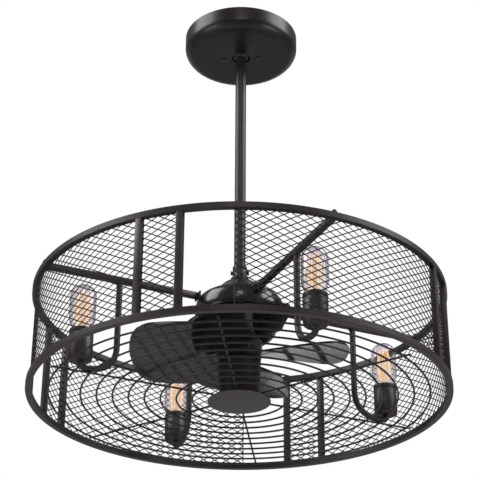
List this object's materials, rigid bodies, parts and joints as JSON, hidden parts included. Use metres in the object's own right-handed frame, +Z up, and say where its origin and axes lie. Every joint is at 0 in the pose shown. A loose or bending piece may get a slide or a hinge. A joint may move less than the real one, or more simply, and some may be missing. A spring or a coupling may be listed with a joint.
{
  "type": "ceiling fan with light",
  "caption": "Caged drum ceiling fan on a downrod: paddle blades turn inside a hooped mesh drum, with upright tubular lamps on curved arms and a ringed wire guard below.",
  "frame": {"origin": "centre of the ceiling plate's top face, where the fan is screwed up to the ceiling box", "axes": "+Z up towards the ceiling; +X and +Y point at open gaps in the cage's side, so the spokes and lamps stand on the diagonals"},
  "size_m": [0.762, 0.762, 0.7896],
  "materials": {
    "bronze": "satin",
    "gloss_bronze": "gloss",
    "plate_bronze": "matte",
    "blade_black": "gloss",
    "mesh_black": "satin",
    "steel": "brushed",
    "iron": "matte",
    "magnet": "matte",
    "nylon": "matte",
    "brass": "satin",
    "glass": "polished"
  },
  "bodies": {
    "ceiling_mount": {"ceiling_plate": "steel", "hanger_bracket": "steel", "ball_seat": "steel", "canopy": "gloss_bronze", "canopy_screw_1": "gloss_bronze", "canopy_screw_2": "gloss_bronze"},
    "swivel_liner": {"ball_liner": "nylon"},
    "hanging_cage": {"hanger_ball": "gloss_bronze", "cross_pin": "steel", "downrod": "bronze", "coupler": "bronze", "coupler_pin": "gloss_bronze", "motor_shaft": "steel", "motor_dome": "gloss_bronze", "stator": "iron", "column": "bronze", "column_cap": "bronze", "guard": "mesh_black", "guard_plate": "plate_bronze", "top_hoop": "bronze", "bottom_hoop": "bronze", "upright_1": "bronze", "upright_2": "bronze", "upright_3": "bronze", "upright_4": "bronze", "upright_5": "bronze", "upright_6": "bronze", "upright_7": "bronze", "upright_8": "bronze", "mesh_panel_1": "mesh_black", "mesh_panel_2": "mesh_black", "mesh_panel_3": "mesh_black", "mesh_panel_4": "mesh_black", "lamp_arm_1": "bronze", "lamp_arm_2": "bronze", "lamp_arm_3": "bronze", "lamp_arm_4": "bronze", "lamp_socket_1": "bronze", "lamp_socket_2": "bronze", "lamp_socket_3": "bronze", "lamp_socket_4": "bronze"},
    "rotor": {"rotor_bowl": "gloss_bronze", "magnet_ring": "magnet", "rotor_cover": "iron", "upper_bearing": "steel", "lower_bearing": "steel", "blade_hub": "gloss_bronze", "blade_1": "blade_black", "blade_2": "blade_black", "blade_3": "blade_black", "blade_4": "blade_black"},
    "bulb_1": {"bulb_cap_1": "brass", "bulb_glass_1": "glass"},
    "bulb_2": {"bulb_cap_2": "brass", "bulb_glass_2": "glass"},
    "bulb_3": {"bulb_cap_3": "brass", "bulb_glass_3": "glass"},
    "bulb_4": {"bulb_cap_4": "brass", "bulb_glass_4": "glass"}
  },
  "joints": [
    {"name": "swivel_about_x", "type": "hinge", "parent": "ceiling_mount", "child": "swivel_liner", "pos_m": [0, 0, -0.029], "axis": [1, 0, 0], "range_deg": [-6, 6]},
    {"name": "swivel_about_y", "type": "hinge", "parent": "swivel_liner", "child": "hanging_cage", "pos_m": [0, 0, -0.029], "axis": [0, 1, 0], "range_deg": [-6, 6]},
    {"name": "blade_spin", "type": "hinge", "parent": "hanging_cage", "child": "rotor", "pos_m": [0, 0, -0.694], "axis": [0, 0, 1], "continuous": true},
    {"name": "bulb_lift_1", "type": "slide", "parent": "hanging_cage", "child": "bulb_1", "axis": [0, 0, 1], "range_m": [0, 0.017]},
    {"name": "bulb_lift_2", "type": "slide", "parent": "hanging_cage", "child": "bulb_2", "axis": [0, 0, 1], "range_m": [0, 0.017]},
    {"name": "bulb_lift_3", "type": "slide", "parent": "hanging_cage", "child": "bulb_3", "axis": [0, 0, 1], "range_m": [0, 0.017]},
    {"name": "bulb_lift_4", "type": "slide", "parent": "hanging_cage", "child": "bulb_4", "axis": [0, 0, 1], "range_m": [0, 0.017]}
  ]
}
